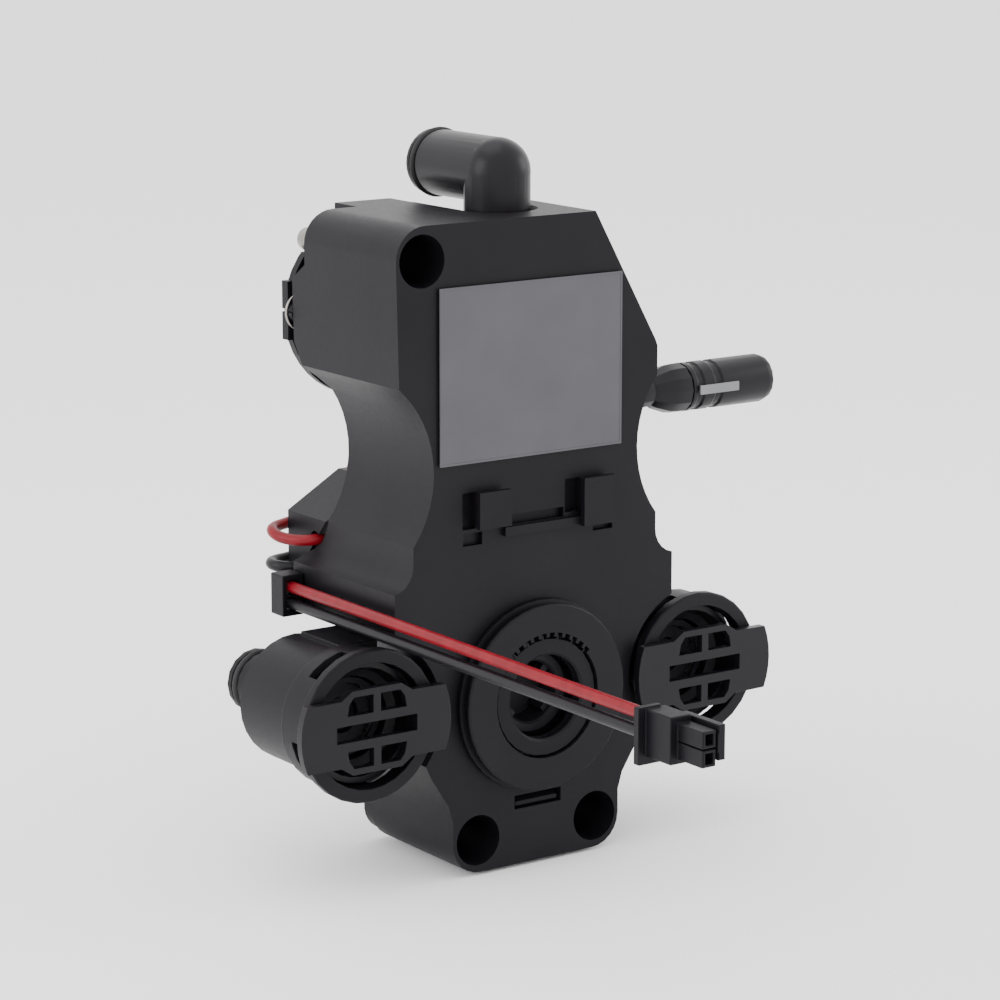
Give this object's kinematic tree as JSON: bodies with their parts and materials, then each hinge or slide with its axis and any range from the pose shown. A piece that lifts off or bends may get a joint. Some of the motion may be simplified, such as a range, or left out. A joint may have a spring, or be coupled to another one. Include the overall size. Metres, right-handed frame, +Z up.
{
  "type": "mixing and shut-off valve block",
  "caption": "Wall-mounted tap valve block: mixing dial in front, an inlet barrel on each side, swivelling outlet elbow on top, solenoid shut-off and control leads.",
  "frame": {"origin": "on the mixing dial's axis, in the plane of the three bosses' rear faces, which rest on the plate the block screws to", "axes": "+Y to the rear along the dial's axis, -Y towards the user, +X to the right seen from the front, +Z up towards the outlet elbow"},
  "size_m": [0.1181, 0.1453, 0.1369],
  "materials": {
    "black_plastic": "satin",
    "grey_black_plastic": "satin",
    "natural_plastic": "matte",
    "label_foil": "satin",
    "seal_rubber": "matte",
    "ceramic": "polished",
    "stainless_steel": "brushed",
    "spring_steel": "drawn",
    "red_insulation": "satin",
    "black_insulation": "satin",
    "coil_resin": "satin",
    "pale_print": "matte",
    "tin_plate": "bright"
  },
  "bodies": {
    "valve_block": {"housing": "black_plastic", "back_plate": "black_plastic", "label_plate": "label_foil", "upper_captive_screw": "stainless_steel", "water_block": "grey_black_plastic", "cartridge_nut": "grey_black_plastic", "fixed_ceramic_disc": "ceramic", "left_inlet_barrel": "black_plastic", "left_inlet_nozzle": "grey_black_plastic", "left_nozzle_seal": "seal_rubber", "right_inlet_barrel": "black_plastic", "right_inlet_nozzle": "grey_black_plastic", "right_nozzle_seal": "seal_rubber", "elbow_retainer": "natural_plastic", "valve_bonnet": "black_plastic", "bonnet_screw_1": "stainless_steel", "bonnet_screw_2": "stainless_steel", "bonnet_screw_3": "stainless_steel", "steel_ring": "stainless_steel", "diaphragm": "seal_rubber", "armature_tube": "stainless_steel", "coil": "coil_resin", "coil_bracket": "stainless_steel", "terminal_box": "black_plastic", "red_coil_lead": "red_insulation", "black_coil_lead": "black_insulation", "lead_grommet": "seal_rubber", "cable_clip": "black_plastic", "red_lead": "red_insulation", "black_lead": "black_insulation", "connector_housing": "black_plastic", "red_terminal": "tin_plate", "black_terminal": "tin_plate", "coupler_socket": "black_plastic", "plunger_spring": "spring_steel"},
    "mixer": {"mixing_dial": "black_plastic", "spindle": "grey_black_plastic", "spindle_seal": "seal_rubber", "moving_ceramic_disc": "ceramic"},
    "limiter": {"stop_ring": "grey_black_plastic"},
    "lock": {"dial_lock": "grey_black_plastic"},
    "left_insert": {"left_filter_basket": "grey_black_plastic", "left_check_body": "grey_black_plastic", "left_check_spring": "spring_steel"},
    "left_cap": {"left_service_cap": "black_plastic"},
    "left_poppet": {"left_check_poppet": "black_plastic"},
    "right_insert": {"right_filter_basket": "grey_black_plastic", "right_check_body": "grey_black_plastic", "right_check_spring": "spring_steel"},
    "right_cap": {"right_service_cap": "black_plastic"},
    "right_poppet": {"right_check_poppet": "black_plastic"},
    "outlet": {"outlet_elbow": "black_plastic", "elbow_tip_seal": "seal_rubber", "elbow_foot_seal": "seal_rubber"},
    "armature": {"plunger": "stainless_steel"},
    "latch": {"connector_latch": "black_plastic"},
    "coupler": {"coupler_cap": "black_plastic", "coupler_mark": "pale_print"}
  },
  "joints": [
    {"name": "mixer_turn", "type": "hinge", "parent": "valve_block", "child": "mixer", "pos_m": [0, 0, 0], "axis": [0, 1, 0], "range_deg": [-50, 50]},
    {"name": "limiter_lift", "type": "slide", "parent": "mixer", "child": "limiter", "axis": [0, -1, 0], "range_m": [0, 0.0025]},
    {"name": "lock_press", "type": "slide", "parent": "valve_block", "child": "lock", "axis": [0, 1, 0], "range_m": [0, 0.0015], "stiffness_N_per_m": 150, "springref_m": -0.0005},
    {"name": "left_insert_pull", "type": "slide", "parent": "valve_block", "child": "left_insert", "axis": [0, -1, 0], "range_m": [0, 0.014]},
    {"name": "left_cap_turn", "type": "hinge", "parent": "left_insert", "child": "left_cap", "pos_m": [-0.038, 0, 0], "axis": [0, -1, 0], "range_deg": [0, 45]},
    {"name": "left_check_lift", "type": "slide", "parent": "left_insert", "child": "left_poppet", "axis": [0, 1, 0], "range_m": [0, 0.0012], "stiffness_N_per_m": 60, "springref_m": -0.0005},
    {"name": "right_insert_pull", "type": "slide", "parent": "valve_block", "child": "right_insert", "axis": [0, -1, 0], "range_m": [0, 0.014]},
    {"name": "right_cap_turn", "type": "hinge", "parent": "right_insert", "child": "right_cap", "pos_m": [0.038, 0, 0], "axis": [0, -1, 0], "range_deg": [0, 45]},
    {"name": "right_check_lift", "type": "slide", "parent": "right_insert", "child": "right_poppet", "axis": [0, 1, 0], "range_m": [0, 0.0012], "stiffness_N_per_m": 60, "springref_m": -0.0005},
    {"name": "outlet_swivel", "type": "hinge", "parent": "valve_block", "child": "outlet", "pos_m": [0.00096, -0.0165, 0], "axis": [0, 0, 1], "range_deg": [-90, 90]},
    {"name": "armature_lift", "type": "slide", "parent": "valve_block", "child": "armature", "axis": [0, 1, 0], "range_m": [0, 0.002], "stiffness_N_per_m": 100, "springref_m": -0.001},
    {"name": "latch_flex", "type": "hinge", "parent": "valve_block", "child": "latch", "pos_m": [-0.03215, -0.114, 0.018], "axis": [0, 0, 1], "range_deg": [0, 8], "stiffness_Nm_per_rad": 0.05},
    {"name": "coupler_pull", "type": "slide", "parent": "valve_block", "child": "coupler", "axis": [1, 0, 0], "range_m": [0, 0.012]}
  ]
}
